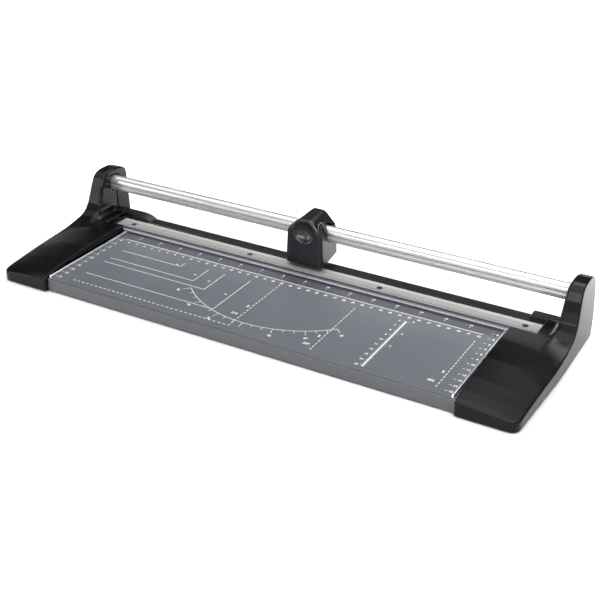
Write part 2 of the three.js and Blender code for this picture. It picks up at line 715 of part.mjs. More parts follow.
function carrierScrew(x) {
  const [, rear] = CARRIER_SPAN;
  const shank = rod("y", SCREW_SHANK, [56, rear + 1], [x, CARRIER_SCREW_Z], 12);
  const panHead = rod("y", 2.2, [rear + FIT, rear + 1.4], [x, CARRIER_SCREW_Z], 16);
  return join(shank, panHead);
}

function bladeAxle() {
  return rod("y", AXLE_RADIUS, [CARRIER_SPAN[0], 66.3], [0, BLADE_Z], 20);
}

function axleClip() {
  const rim = rod("y", 3.6, [65.8, 66.2], [0, BLADE_Z], 20);
  return cut(rim, rod("y", AXLE_RADIUS + FIT, [65, 67], [0, BLADE_Z], 20));
}

function bladeHub() {
  const flange = rod("y", 7, [CARRIER_SPAN[1] + FIT, BLADE_FRONT - FIT], [0, BLADE_Z], 24);
  const sleeve = rod("y", HUB_SLEEVE, [64, 65.5], [0, BLADE_Z], 24);
  return cut(join(flange, sleeve), rod("y", AXLE_RADIUS + FIT, [60, 68], [0, BLADE_Z], 20));
}

// Thin disc whose rim is ground to an edge on the side that faces the cutting strip.
function blade() {
  const thickness = [BLADE_FRONT, BLADE_FRONT + BLADE_THICK];
  const disc = rod("y", BLADE_RADIUS, thickness, [0, BLADE_Z], 48, BLADE_RADIUS - 0.9);
  return cut(disc, rod("y", HUB_SLEEVE + FIT, [60, 70], [0, BLADE_Z], 24));
}

piece("head_carriage", headCarriage(), blackPlastic, head);
piece("glide_bush_left", glideBush(BUSH_SPANS[0]), nylon, head);
piece("glide_bush_right", glideBush(BUSH_SPANS[1]), nylon, head);
for (const [side, sign] of [
  ["left", -1],
  ["right", 1],
]) {
  piece(`grip_spring_${side}`, gripSpring(sign * SPRING_X), springSteel, head);
  piece(`retainer_screw_${side}`, retainerScrew(sign * RETAINER_X), darkScrew, head);
  piece(`carrier_screw_${side}`, carrierScrew(sign * CARRIER_SCREW_X), darkScrew, head);
}
piece("head_cover", headCover(), gripPlastic, head);
piece("clamp_shoe", block([-SHOE_HALF, SHOE_HALF], SHOE_SPAN, [SHOE_UNDER, SHOE_TOP]), felt, head);
piece("blade_carrier", bladeCarrier(), blackPlastic, head);
piece("blade_axle", bladeAxle(), steel, head);
piece("axle_clip", axleClip(), springSteel, head);
piece("blade_hub", bladeHub(), nylon, head);
piece("blade", blade(), steel, head);

export default trimmer;
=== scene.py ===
"""Rotary paper trimmer: the finished surfaces, print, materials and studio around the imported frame.

Metres, +X along the guide rail, +Y to the back, +Z up. Shapes are worked out in millimetres and
turned into metres where their meshes are made.
"""
import json
import math

import bpy
import numpy as np
from mathutils import Matrix, Vector


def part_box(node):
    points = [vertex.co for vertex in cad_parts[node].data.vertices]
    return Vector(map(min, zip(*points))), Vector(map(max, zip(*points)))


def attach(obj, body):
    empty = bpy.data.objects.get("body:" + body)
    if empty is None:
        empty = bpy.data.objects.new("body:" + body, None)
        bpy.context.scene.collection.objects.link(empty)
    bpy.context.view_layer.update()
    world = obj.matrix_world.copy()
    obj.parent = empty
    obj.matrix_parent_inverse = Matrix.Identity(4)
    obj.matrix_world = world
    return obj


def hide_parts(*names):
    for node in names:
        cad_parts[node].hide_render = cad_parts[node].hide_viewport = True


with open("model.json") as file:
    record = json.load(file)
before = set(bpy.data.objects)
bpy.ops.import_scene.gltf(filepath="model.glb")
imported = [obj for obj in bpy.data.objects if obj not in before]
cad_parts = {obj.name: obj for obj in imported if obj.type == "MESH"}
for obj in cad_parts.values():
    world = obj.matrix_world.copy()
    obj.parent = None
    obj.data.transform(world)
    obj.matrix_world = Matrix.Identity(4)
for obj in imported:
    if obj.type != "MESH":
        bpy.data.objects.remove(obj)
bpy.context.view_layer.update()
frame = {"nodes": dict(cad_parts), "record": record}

MM = 0.001
scene = bpy.context.scene


def box_mm(node):
    """Low and high corner of a CAD node's box, in mm."""
    low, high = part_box(node)
    return np.array(low) / MM, np.array(high) / MM


# ---- Driving sizes, read from the frame (mm) ----------------------------------------------
SHEET_HIGH = box_mm("grid_sheet")[1]
BED_LOW, BED_HIGH = box_mm("bed_plate")
CAP_LOW, CAP_HIGH = box_mm("right_end_cap")
RAIL_LOW, RAIL_HIGH = box_mm("guide_rail")
COVER_LOW, COVER_HIGH = box_mm("head_cover")
BAR_LOW, BAR_HIGH = box_mm("clamp_bar")
STRIP_REAR = box_mm("steel_cutting_strip")[1][1]
RAIL_Y = (RAIL_LOW[1] + RAIL_HIGH[1]) / 2
RAIL_Z = (RAIL_LOW[2] + RAIL_HIGH[2]) / 2
RAIL_HALF_DEPTH = (RAIL_HIGH[1] - RAIL_LOW[1]) / 2
RAIL_HALF_HEIGHT = (RAIL_HIGH[2] - RAIL_LOW[2]) / 2
HEAD_X = (COVER_LOW[0] + COVER_HIGH[0]) / 2
STRIP_HALF_LENGTH = 243.0
LEDGE_TOP = 12.2  # the low rear part of the bed


# ---- Camera -------------------------------------------------------------------------------
CAMERA_PLACE = (0.492107, -0.839362, 0.527673)
CAMERA_TURNS = (29.45, 28.2, 0.38)  # azimuth, elevation and roll, in degrees
CAMERA_LENS = 66.91
SENSOR_WIDTH = 36


def make_camera():
    """The camera solved from the photo's known lengths."""
    azimuth, elevation, roll = (math.radians(a) for a in CAMERA_TURNS)
    data = bpy.data.cameras.new("camera")
    data.lens = CAMERA_LENS
    data.sensor_width = SENSOR_WIDTH
    camera = bpy.data.objects.new("camera", data)
    turn = Matrix.Rotation(azimuth, 4, "Z") @ Matrix.Rotation(math.pi / 2 - elevation, 4, "X")
    camera.matrix_world = Matrix.Translation(CAMERA_PLACE) @ turn @ Matrix.Rotation(roll, 4, "Z")
    scene.collection.objects.link(camera)
    scene.camera = camera


make_camera()


# ---- Materials ----------------------------------------------------------------------------
class Surface:
    """A node-based material that is put together a few nodes at a time."""

    def __init__(self, name):
        self.material = bpy.data.materials.new(name)
        self.material.use_nodes = True
        self.nodes = self.material.node_tree.nodes
        self.links = self.material.node_tree.links
        self.shader = self.nodes["Principled BSDF"]
        self.place = self.nodes.new("ShaderNodeTexCoord").outputs["Object"]

    def set(self, **values):
        """Set shader inputs by name, with underscores for spaces."""
        for name, value in values.items():
            self.shader.inputs[name.replace("_", " ")].default_value = value
        return self

    def stretched(self, scale):
        """Object coordinates scaled along each axis."""
        mapping = self.nodes.new("ShaderNodeMapping")
        mapping.inputs["Scale"].default_value = scale
        self.links.new(self.place, mapping.inputs["Vector"])
        return mapping.outputs["Vector"]

    def noise(self, size_mm, detail=2.0, stretch=(1, 1, 1)):
        """Noise whose blobs are about size_mm across."""
        node = self.nodes.new("ShaderNodeTexNoise")
        node.inputs["Scale"].default_value = 1 / (size_mm * MM)
        node.inputs["Detail"].default_value = detail
        self.links.new(self.stretched(stretch), node.inputs["Vector"])
        return node.outputs["Fac"]

    def ramp(self, value, low, high, start=0.3, end=0.7):
        """Carry a value's range from start to end over to low to high."""
        node = self.nodes.new("ShaderNodeMapRange")
        node.inputs["From Min"].default_value = start
        node.inputs["From Max"].default_value = end
        node.inputs["To Min"].default_value = low
        node.inputs["To Max"].default_value = high
        self.links.new(value, node.inputs["Value"])
        return node.outputs["Result"]

    def mix(self, value, dark, light):
        node = self.nodes.new("ShaderNodeMix")
        node.data_type = "RGBA"
        node.inputs["A"].default_value = (*dark, 1)
        node.inputs["B"].default_value = (*light, 1)
        self.links.new(value, node.inputs["Factor"])
        return node.outputs["Result"]

    def colour(self, output):
        self.links.new(output, self.shader.inputs["Base Color"])

    def roughness(self, output):
        self.links.new(output, self.shader.inputs["Roughness"])

    def bump(self, output, depth_mm, strength):
        """Add a relief on top of any the shader already has."""
        node = self.nodes.new("ShaderNodeBump")
        node.inputs["Distance"].default_value = depth_mm * MM
        node.inputs["Strength"].default_value = strength
        self.links.new(output, node.inputs["Height"])
        previous = self.shader.inputs["Normal"].links
        if previous:
            self.links.new(previous[0].from_socket, node.inputs["Normal"])
        self.links.new(node.outputs["Normal"], self.shader.inputs["Normal"])


def moulded_plastic(name, colour, rough, grain_mm, grain_depth, gloss=0.3):
    """Moulded black plastic: fine spark-eroded grain, slow sheen changes and a few soft scuffs."""
    s = Surface(name)
    cloud = s.noise(38, 2)
    lighter = tuple(1.35 * c for c in colour)
    s.colour(s.mix(s.ramp(cloud, 0, 1), colour, lighter))
    s.roughness(s.ramp(cloud, rough - 0.03, rough + 0.04))
    s.bump(s.noise(grain_mm, 3), grain_depth, 0.6)
    s.bump(s.noise(60, 1), 0.05, 0.4)
    return s.set(Specular_IOR_Level=gloss).material


def satin_paint(name, colour):
    """Sprayed satin paint with a faint orange peel and a metallic fleck."""
    s = Surface(name)
    fleck = s.noise(0.35, 1)
    s.colour(s.mix(s.ramp(fleck, 0, 1, 0.45, 0.6), colour, tuple(1.25 * c for c in colour)))
    s.roughness(s.ramp(s.noise(25), 0.3, 0.38))
    s.bump(s.noise(1.6, 2), 0.012, 0.5)
    return s.set(Metallic=0.25).material


def drawn_metal(name, colour, rough, along=(0.012, 1, 1), depth=0.004, metallic=1.0):
    """Metal with fine lines along one axis."""
    s = Surface(name)
    lines = s.noise(0.5, 3, along)
    s.colour(s.mix(s.ramp(lines, 0, 1), tuple(0.93 * c for c in colour), colour))
    s.roughness(s.ramp(lines, rough - 0.05, rough + 0.06))
    s.bump(lines, depth, 0.5)
    return s.set(Metallic=metallic).material


def printed_sheet():
    """Blue-grey printed sheet with a slight texture."""
    s = Surface("printed_sheet")
    cloud = s.noise(70, 1)
    s.colour(s.mix(s.ramp(cloud, 0, 1), (0.116, 0.129, 0.147), (0.127, 0.141, 0.160)))
    s.roughness(s.ramp(s.noise(12, 3), 0.34, 0.42))
    s.bump(s.noise(0.8, 2), 0.01, 0.4)
    return s.material


def white_print():
    s = Surface("white_print")
    s.colour(s.mix(s.ramp(s.noise(0.6, 2), 0, 1), (0.78, 0.80, 0.82), (0.86, 0.88, 0.90)))
    return s.set(Roughness=0.5).material


ACRYLIC_IOR = 1.49


def clear_plastic():
    """Thin clear acrylic: what lies behind shows through, with a gloss that grows at grazing angles."""
    s = Surface("clear_plastic")
    s.set(Roughness=0.08)
    s.colour(s.mix(s.ramp(s.noise(20), 0, 1), (0.10, 0.10, 0.13), (0.13, 0.13, 0.16)))
    s.bump(s.noise(30, 1), 0.01, 0.3)
    through = s.nodes.new("ShaderNodeBsdfTransparent")
    through.inputs["Color"].default_value = (0.955, 0.95, 0.965, 1)
    gloss = s.nodes.new("ShaderNodeFresnel")
    gloss.inputs["IOR"].default_value = ACRYLIC_IOR
    # Only outer faces are glossy: inside, the Fresnel share would hide what lies behind.
    outer = s.ramp(s.nodes.new("ShaderNodeNewGeometry").outputs["Backfacing"], 1.0, 0.0, 0.0, 1.0)
    share = s.nodes.new("ShaderNodeMath")
    share.operation = "MULTIPLY"
    s.links.new(s.ramp(gloss.outputs["Fac"], 0.05, 1.0, 0.0, 1.0), share.inputs[0])
    s.links.new(outer, share.inputs[1])
    blend = s.nodes.new("ShaderNodeMixShader")
    s.links.new(share.outputs["Value"], blend.inputs["Fac"])
    s.links.new(through.outputs["BSDF"], blend.inputs[1])
    s.links.new(s.shader.outputs["BSDF"], blend.inputs[2])
    s.links.new(blend.outputs["Shader"], s.nodes["Material Output"].inputs["Surface"])
    return s.material


def soft_matte(name, dark, light, rough, grain_mm, depth):
    """A dull surface whose colour wanders between two tones."""
    s = Surface(name)
    s.colour(s.mix(s.ramp(s.noise(grain_mm, 4), 0, 1), dark, light))
    s.roughness(s.ramp(s.noise(5), rough - 0.05, rough + 0.05))
    s.bump(s.noise(grain_mm, 4), depth, 0.8)
    return s.material


CAP_PLASTIC = moulded_plastic("black_plastic", (0.0026, 0.0023, 0.0032), 0.25, 0.55, 0.006, 0.2)
COVER_PLASTIC = moulded_plastic("cover_plastic", (0.012, 0.012, 0.013), 0.5, 0.8, 0.04)
BACKING_PLASTIC = moulded_plastic("backing_plastic", (0.008, 0.007, 0.009), 0.34, 0.6, 0.01)
HEAD_PLASTIC = moulded_plastic("head_plastic", (0.03, 0.03, 0.032), 0.45, 0.6, 0.02)
GRIP_PLASTIC = moulded_plastic("grip_plastic", (0.0135, 0.0112, 0.0145), 0.2, 0.5, 0.002, 0.5)
BED_PAINT = satin_paint("bed_metal", (0.104, 0.103, 0.116))
SHEET = printed_sheet()
PRINT = white_print()
BRIGHT_METAL = drawn_metal("aluminium", (0.86, 0.86, 0.88), 0.3, (1, 0.02, 1))
RAIL_METAL = drawn_metal("rail_aluminium", (0.66, 0.66, 0.64), 0.24, metallic=0.62)
MARK_GREY = soft_matte("mark_grey", (0.24, 0.23, 0.22), (0.30, 0.29, 0.27), 0.5, 3.0, 0.004)
# Painted shade: a dark grey laid on the sheet in front of the clear bar and across the cutting strip's
# front, where the bar's shade falls.
PAINTED_SHADE = satin_paint("painted_shade", (0.085, 0.082, 0.100))
# Painted highlight: a pale band that stands for light caught by the clear bar's polished front edge.
PAINTED_EDGE_HIGHLIGHT = soft_matte("painted_edge_highlight", (0.32, 0.31, 0.36), (0.44, 0.42, 0.48), 0.4, 3.0, 0.01)
CUT_EDGE = soft_matte("ground_edge", (0.76, 0.75, 0.71), (0.86, 0.85, 0.81), 0.35, 3.0, 0.004)
RAIL_SHADE = soft_matte("rail_shade", (0.10, 0.10, 0.10), (0.14, 0.14, 0.14), 0.5, 4.0, 0.004)
STRIP_STEEL = drawn_metal("cutting_steel", (0.72, 0.71, 0.65), 0.4, metallic=0.2)
BLADE_STEEL = drawn_metal("blade_steel", (0.72, 0.72, 0.72), 0.2, (1, 1, 1))
SPRING_STEEL = drawn_metal("spring_steel", (0.55, 0.55, 0.55), 0.3, (1, 1, 0.1))
DARK_SCREW = drawn_metal("dark_screw", (0.16, 0.16, 0.17), 0.36, (1, 1, 1))
CLEAR = clear_plastic()
NYLON = soft_matte("nylon", (0.66, 0.63, 0.56), (0.74, 0.72, 0.66), 0.45, 2.0, 0.01)
FELT = soft_matte("felt", (0.03, 0.03, 0.03), (0.08, 0.08, 0.08), 0.9, 0.3, 0.12)
RUBBER = soft_matte("rubber", (0.014, 0.014, 0.014), (0.025, 0.025, 0.025), 0.8, 0.6, 0.03)

SLOT_MATERIALS = {
    "bed_metal": BED_PAINT,
    "printed_sheet": SHEET,
    "aluminium": BRIGHT_METAL,
    "rail_aluminium": RAIL_METAL,
    "cutting_steel": STRIP_STEEL,
    "blade_steel": BLADE_STEEL,
    "spring_steel": SPRING_STEEL,
    "dark_screw": DARK_SCREW,
    "black_plastic": CAP_PLASTIC,
    "cover_plastic": COVER_PLASTIC,
    "backing_plastic": BACKING_PLASTIC,
    "head_plastic": HEAD_PLASTIC,
    "grip_plastic": GRIP_PLASTIC,
    "clear_plastic": CLEAR,
    "nylon": NYLON,
    "felt": FELT,
    "rubber": RUBBER,
}
NODE_SLOTS = {s["node"]: s["material_slot"] for s in frame["record"]["subparts"]}


EDGE_BREAK = 0.15
EDGE_ANGLE = 50


def finish_cad_nodes():
    """Every CAD node gets its finish and slightly broken edges."""
    for name, node in frame["nodes"].items():
        node.data.materials.clear()
        node.data.materials.append(SLOT_MATERIALS[NODE_SLOTS[name]])
        bevel = node.modifiers.new("broken_edges", "BEVEL")
        bevel.width = EDGE_BREAK * MM
        bevel.segments = 2
        bevel.limit_method = "ANGLE"
        bevel.angle_limit = math.radians(EDGE_ANGLE)
        bevel.harden_normals = False


finish_cad_nodes()


# ---- Meshes -------------------------------------------------------------------------------
def mesh_piece(name, vertices, faces, material, body, node=None, smooth_angle=35):
    """A piece from vertices in mm. It rides on a body and may stand for a CAD node."""
    mesh = bpy.data.meshes.new(name)
    mesh.from_pydata((np.asarray(vertices, float) * MM).tolist(), [], faces)
    mesh.validate()
    mesh.materials.append(material)
    mesh.shade_smooth()
    mesh.set_sharp_from_angle(angle=math.radians(smooth_angle))
    piece = bpy.data.objects.new(name, mesh)
    scene.collection.objects.link(piece)
    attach(piece, body)
    if node:
        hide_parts(node)


def rounded_outline(corners, steps=5):
    """A closed outline whose corners (u, v, radius) are rounded."""
    outline = []
    count = len(corners)
    for i, (u, v, radius) in enumerate(corners):
        here = Vector((u, v))
        before = Vector(corners[i - 1][:2]) - here
        after = Vector(corners[(i + 1) % count][:2]) - here
        if radius <= 0:
            outline.append((u, v))
            continue
        reach = radius / math.tan(before.angle(after) / 2)
        reach = min(reach, 0.49 * before.length, 0.49 * after.length)
        start = here + before.normalized() * reach
        end = here + after.normalized() * reach
        for k in range(steps + 1):
            t = k / steps
            outline.append(tuple((1 - t) ** 2 * start + 2 * t * (1 - t) * here + t * t * end))
    return outline


def swept_bar(outline, axis, low, high, end_round=0.0):
    """An outline carried along x or y, its ends drawn in a little where they are rounded."""
    points = np.array(outline)
    middle = (points.max(0) + points.min(0)) / 2
    half = (points.max(0) - points.min(0)) / 2
    turns = np.radians((0, 30, 60, 90) if end_round > 0 else (90,))
    start = [(low + end_round * (1 - math.cos(t)), end_round * (1 - math.sin(t))) for t in turns]
    stations = start + [(low + high - place, drawn_in) for place, drawn_in in reversed(start)]
    vertices = []
    for place, drawn_in in stations:
        ring = middle + (points - middle) * (1 - drawn_in / half)
        for u, v in ring:
            vertices.append((place, u, v) if axis == "x" else (u, place, v))
    count = len(points)
    faces = []
    for k in range(len(stations) - 1):
        for i in range(count):
            j = (i + 1) % count
            faces.append((k * count + i, k * count + j, (k + 1) * count + j, (k + 1) * count + i))
    last = (len(stations) - 1) * count
    faces.append(tuple(reversed(range(count))))
    faces.append(tuple(range(last, last + count)))
    area = sum(
        points[i - 1][0] * points[i][1] - points[i][0] * points[i - 1][1] for i in range(count)
    )
    outward = (area > 0) == (axis == "x")
    if not outward:
        faces = [tuple(reversed(face)) for face in faces]
    return vertices, faces


# ---- Shapes as distance fields ------------------------------------------------------------
# A field is negative inside. Rounded joins and cuts give the mouldings their fillets.
def grid(low, high, step):
    """Coordinates of a grid, as three arrays that broadcast against each other."""
    axes = [np.arange(a - 2 * step, b + 2.5 * step, step) for a, b in zip(low, high)]
    x, y, z = axes
    return x[:, None, None], y[None, :, None], z[None, None, :]


def both(a, b, radius=0.0):
    """Inside both fields, with the edge between them rounded."""
    if radius <= 0:
        return np.maximum(a, b)
    corner = np.hypot(np.maximum(a + radius, 0), np.maximum(b + radius, 0))
    return np.minimum(-radius, np.maximum(a, b)) + corner


def either(a, b, radius=0.0):
    """Inside either field, with the corner between them filled."""
    return -both(-a, -b, radius)


def without(a, b, radius=0.0):
    """Inside the first field and outside the second."""
    return both(a, -b, radius)


def ball(x, y, z, centre, radius):
    return np.sqrt((x - centre[0]) ** 2 + (y - centre[1]) ** 2 + (z - centre[2]) ** 2) - radius


def slab(u, low, high):
    """Between two planes across one coordinate."""
    return np.maximum(low - u, u - high)


def polygon(u, v, points):
    """Signed distance to a closed outline in two coordinates."""
    u, v = np.broadcast_arrays(u, v)
    distance = np.full(u.shape, np.inf)
    sign = np.ones(u.shape)
    # The nearest side gives the distance. The sign flips at each side that a ray crosses.
    for (u0, v0), (u1, v1) in zip(points, points[1:] + points[:1]):
        edge_u, edge_v = u1 - u0, v1 - v0
        from_u, from_v = u - u0, v - v0
        t = np.clip((from_u * edge_u + from_v * edge_v) / (edge_u**2 + edge_v**2), 0, 1)
        distance = np.minimum(distance, (from_u - edge_u * t) ** 2 + (from_v - edge_v * t) ** 2)
        above = v >= v0
        below_next = v < v1
        left = edge_u * from_v > edge_v * from_u
        flip = (above & below_next & left) | (~above & ~below_next & ~left)
        sign = np.where(flip, -sign, sign)
    return sign * np.sqrt(distance)


def skin(field, x, y, z):
    """Vertices and quads of the surface where a field is zero (surface nets)."""
    field = np.ascontiguousarray(np.broadcast_to(field, (x.size, y.size, z.size)), dtype=np.float64)
    inside = field < 0
    axes = [x.ravel(), y.ravel(), z.ravel()]
    step = axes[0][1] - axes[0][0]
    cells = tuple(n - 1 for n in field.shape)
    total = np.zeros((3, *cells))
    count = np.zeros(cells)
    crossings = []
    # Each cell's vertex is the mean of the places where the surface crosses its edges.
    for axis in range(3):
        low = [slice(None)] * 3
        high = [slice(None)] * 3
        low[axis], high[axis] = slice(0, -1), slice(1, None)
        f0, f1 = field[tuple(low)], field[tuple(high)]
        crossed = inside[tuple(low)] != inside[tuple(high)]
        share = np.where(crossed, f0 / np.where(crossed, f0 - f1, 1), 0)
        crossings.append(crossed)
        others = [a for a in range(3) if a != axis]
        for du in (0, 1):
            for dv in (0, 1):
                part = [slice(None)] * 3
                part[others[0]] = slice(du, du + cells[others[0]])
                part[others[1]] = slice(dv, dv + cells[others[1]])
                hit = crossed[tuple(part)]
                count += hit
                total[axis] += share[tuple(part)]
                total[others[0]] += du * hit
                total[others[1]] += dv * hit
    used = count > 0
    number = np.full(cells, -1)
    number[used] = np.arange(used.sum())
    where = np.argwhere(used)
    vertices = where + (total[:, used] / count[used]).T
    vertices = vertices * step + np.array([a[0] for a in axes])
    faces = []
    # Each crossed edge gets a quad through the four cells round it, turned to face outward.
    for axis, crossed in enumerate(crossings):
        u, v = (axis + 1) % 3, (axis + 2) % 3
        place = np.argwhere(crossed)
        ok = (place[:, u] > 0) & (place[:, v] > 0)
        ok &= (place[:, u] < cells[u]) & (place[:, v] < cells[v])
        place = place[ok]
        ring = []
        for du, dv in ((-1, -1), (0, -1), (0, 0), (-1, 0)):
            cell = place.copy()
            cell[:, u] += du
            cell[:, v] += dv
            ring.append(number[cell[:, 0], cell[:, 1], cell[:, 2]])
        quads = np.stack(ring, 1)
        outward = inside[place[:, 0], place[:, 1], place[:, 2]]
        quads[~outward] = quads[~outward][:, ::-1]
        faces.append(quads)
    return vertices, np.concatenate(faces)


# ---- End caps -----------------------------------------------------------------------------
CAP_INNER, CAP_OUTER = CAP_LOW[0], CAP_HIGH[0]
CAP_FRONT, CAP_REAR = CAP_LOW[1], CAP_HIGH[1]
CAP_FOOT, TOWER_TOP = CAP_LOW[2], CAP_HIGH[2]
CAP_STEP = 0.8
CAP_WALL = 2.5
NOTCH_FRONT, NOTCH_OUTER = 32.7, 246.3
END_BLOCK_FRONT = 67.0
TOWER_INNER = 261.0
BOSS_MARGIN, BOSS_DEPTH = 4.5, 8  # the wall round the rail's pocket
POCKET_MARGIN, POCKET_DEPTH = 1.1, 7
SEAM_HALF, SEAM_FOOT, SEAM_TOP = 0.55, 21, 46
SEAM_CUT, SEAM_LEAN = 1.2, 0.037  # it follows the leaning inner face of the tower
TOWER_FILLET, BLOCK_FILLET = 9.0, 1.0
TOWER_LEAN_OUT, TOWER_LEAN_IN = 3.6, 2.5
OUTER_LEAN_POWER, SHELF_FALL_POWER = 1.3, 1.7
PLAN_REACH = 40  # how far the plan runs on under the bed before it is cut off
# Height of the shelf's two long edges, as places along the depth and heights there.
SHELF_INNER_EDGE = (
    [-98, -92, -82, -62, -30, 5, 32, 98],
    [14.6, 16.6, 18.6, 21.4, 23.9, 24.6, 23.7, 22.6],
)
SHELF_OUTER_EDGE = ([-98, -80, -40, 0, 98], [10.6, 12.6, 15.6, 17.5, 18.5])
TOWER_SIDE = [
    (98, -5), (96.5, 56), (95, 61.5), (88, 65.2), (80, 66.8), (73, 67), (66, 66.6), (61, 65.6),
    (55.5, 61.5), (51.7, 53.5), (48.5, 44), (44.5, 34), (40, 27.5), (33, 22), (20, 17), (0, 10),
    (0, -5),
]


def cap_field(x, y, z):
    """The right end cap, solid: a soft shelf that sweeps up into the tower. cap_shell hollows it from
    below.
    """
    plan = rounded_outline(
        [
            (CAP_INNER - PLAN_REACH, CAP_FRONT, 0), (CAP_OUTER - 4, CAP_FRONT, 10), (CAP_OUTER, 0, 60),
            (CAP_OUTER - 0.4, CAP_REAR, 5), (CAP_INNER - PLAN_REACH, CAP_REAR, 0),
        ],
        8,
    )
    lean = np.clip(z / TOWER_TOP, 0, 1)
    leaning_wall = x - (CAP_OUTER - TOWER_LEAN_OUT * lean**OUTER_LEAN_POWER)
    outside = np.maximum(polygon(x, y, plan), leaning_wall)
    inner_height = np.interp(y, *SHELF_INNER_EDGE)
    outer_height = np.interp(y, *SHELF_OUTER_EDGE)
    across = np.clip((x - CAP_INNER) / (CAP_OUTER - 3 - CAP_INNER), 0, 1.2)
    fall = (outer_height - inner_height) * across**SHELF_FALL_POWER
    top = 0.95 * (z - inner_height - fall)
    shelf = both(both(top, CAP_INNER - x, 0.8), y - BED_HIGH[1], 1.0)
    rear_cut = both(both(x - (TOWER_INNER + 2), LEDGE_TOP - z), END_BLOCK_FRONT - y)
    notch = both(both(x - NOTCH_OUTER, LEDGE_TOP - z), NOTCH_FRONT - y, 1.0)
    shelf = without(without(shelf, notch, 0.6), rear_cut, 0.4)
    side = polygon(y, z, TOWER_SIDE)
    inner_wall = TOWER_INNER + TOWER_LEAN_IN * lean - x
    tower = both(side, inner_wall, 2.6)
    blocky, flared = either(shelf, tower, BLOCK_FILLET), either(shelf, tower, TOWER_FILLET)
    flare = np.where(y > END_BLOCK_FRONT, blocky, flared)
    return both(both(flare, outside, 1.6), CAP_FOOT - z, 0.4)


def cap_shell(x, y, z):
    """The cap with its hollow, the pocket for the rail's end and the seam below the rail."""
    whole = cap_field(x, y, z)
    hollow = both(whole + CAP_WALL, CAP_INNER + CAP_WALL - x)
    below = z < CAP_FOOT + CAP_WALL
    hollow = np.where(below, cap_field(x, y, z + CAP_WALL + 1) + CAP_WALL, hollow)
    boss = both(polygon(y, z, sleeve_outline(BOSS_MARGIN)), x - (CAP_OUTER - BOSS_DEPTH))
    shell = without(whole, without(hollow, boss, 1.0), 0.4)
    pocket_outline = sleeve_outline(POCKET_MARGIN)
    pocket = both(polygon(y, z, pocket_outline), x - (TOWER_INNER + POCKET_DEPTH))
    shell = without(shell, pocket, 0.5)
    seam = both(np.abs(y - RAIL_Y) - SEAM_HALF, slab(z, SEAM_FOOT, SEAM_TOP))
    return without(shell, both(seam, x - (TOWER_INNER + SEAM_CUT + SEAM_LEAN * z)), 0.2)


def sleeve_outline(margin):
    """The rail's outline as a plain sleeve, larger by a margin."""
    half_width = RAIL_HALF_DEPTH + margin
    half_height = RAIL_HALF_HEIGHT + margin
    foot = [(RAIL_Y + side * half_width, RAIL_Z - half_height) for side in (-1, 1)]
    crown = [
        (RAIL_Y + half_width * math.cos(a), RAIL_Z + half_height * math.sin(a))
        for a in np.linspace(0, math.pi, 17)
    ]
    return foot + crown


def make_end_caps():
    """The right cap, and the left one as its mirror image."""
    x, y, z = grid((CAP_INNER, CAP_FRONT, CAP_FOOT), (CAP_OUTER, CAP_REAR, TOWER_TOP), CAP_STEP)
    vertices, faces = skin(cap_shell(x, y, z), x, y, z)
    caps = (
        ("right_cap", "right_end_cap", vertices, faces),
        ("left_cap", "left_end_cap", vertices * (-1, 1, 1), faces[:, ::-1]),
    )
    for name, node, places, quads in caps:
        mesh_piece(name, places, quads.tolist(), CAP_PLASTIC, "base", node, smooth_angle=60)


make_end_caps()


# ---- Head cover ---------------------------------------------------------------------------
HEAD_STEP = 0.55
PRESS_TRAVEL = 2.0
COVER_WALL = 2.2
COVER_HALF, COVER_FRONT, COVER_REAR = 22.0, 51.4, 88.0
COVER_UNDER, COVER_EAVES, COVER_TOP = 19.8, 54.5, 71.6
COVER_PLAN = rounded_outline(
    [
        (-30, COVER_FRONT, 0), (COVER_HALF, COVER_FRONT, 5.5), (COVER_HALF, COVER_REAR, 3),
        (-30, COVER_REAR, 0),
    ],
    6,
)
COVER_ACROSS = [(-30, 0), (22.6, 0), (22.6, 54.2), (5.8, COVER_TOP), (-30, COVER_TOP)]
COVER_SIDE = [
    (COVER_FRONT, 0), (COVER_REAR, 0), (COVER_REAR, 68.8), (85.5, COVER_TOP), (55.4, 69.3), (52.6, 66),
    (COVER_FRONT, 56),
]
FRONT_BULGE, SIDE_TAPER = 1.6, 1.6
THUMB_DISH = ((0, 40.6, 57.2), 17)  # centre and radius of the ball that cuts it
SIDE_DISH = ((24.1, 65, 62.5), 12)
COLLAR = 3.0
RAIL_GAP = 0.8
SHOE_RIB = (53, 58.6, 25)  # front, rear and top of the solid rib that holds the felt shoe
SHOE_POCKET = (53.9, 57.9, 22)
SHOE_HALF = 18.3
# The underside steps up to the rear, clear of the backing strip.
UNDERCUT = [(66.9, 10), (95, 10), (95, 27), (84, 25.6), (66.9, 22.4)]
SCREW_X, SCREW_ROOM, SCREW_REAR = 4.5, 1.8, 82


def rail_way(y, z, margin):
    """Room for the rail with a margin round it, and for the cover's travel when it is pressed."""
    outline = sleeve_outline(margin)
    return np.minimum(polygon(y, z, outline), polygon(y, z - PRESS_TRAVEL, outline))


def cover_form(x, y, z):
    """Square column with sloping sides, a plateau on top and a dish on its front and each side."""
    bulge = FRONT_BULGE * (x / COVER_HALF) ** 2 * np.clip((60 - y) / 9, 0, 1)
    taper = SIDE_TAPER * np.clip((z - COVER_UNDER) / (COVER_EAVES - COVER_UNDER), 0, 1)
    plan = polygon(np.abs(x) + taper, y - bulge, COVER_PLAN)
    roof = polygon(np.abs(x) + 0 * y, z + 0 * y, COVER_ACROSS)
    side = polygon(y, z, COVER_SIDE)
    form = both(both(plan, roof, 3.0), side, 3.0)
    form = without(form, ball(x, y, z, *THUMB_DISH), 0.8)
    side_dish = without(ball(np.abs(x), y, z, *SIDE_DISH), rail_way(y, z, COLLAR))
    return without(form, side_dish, 1.0)


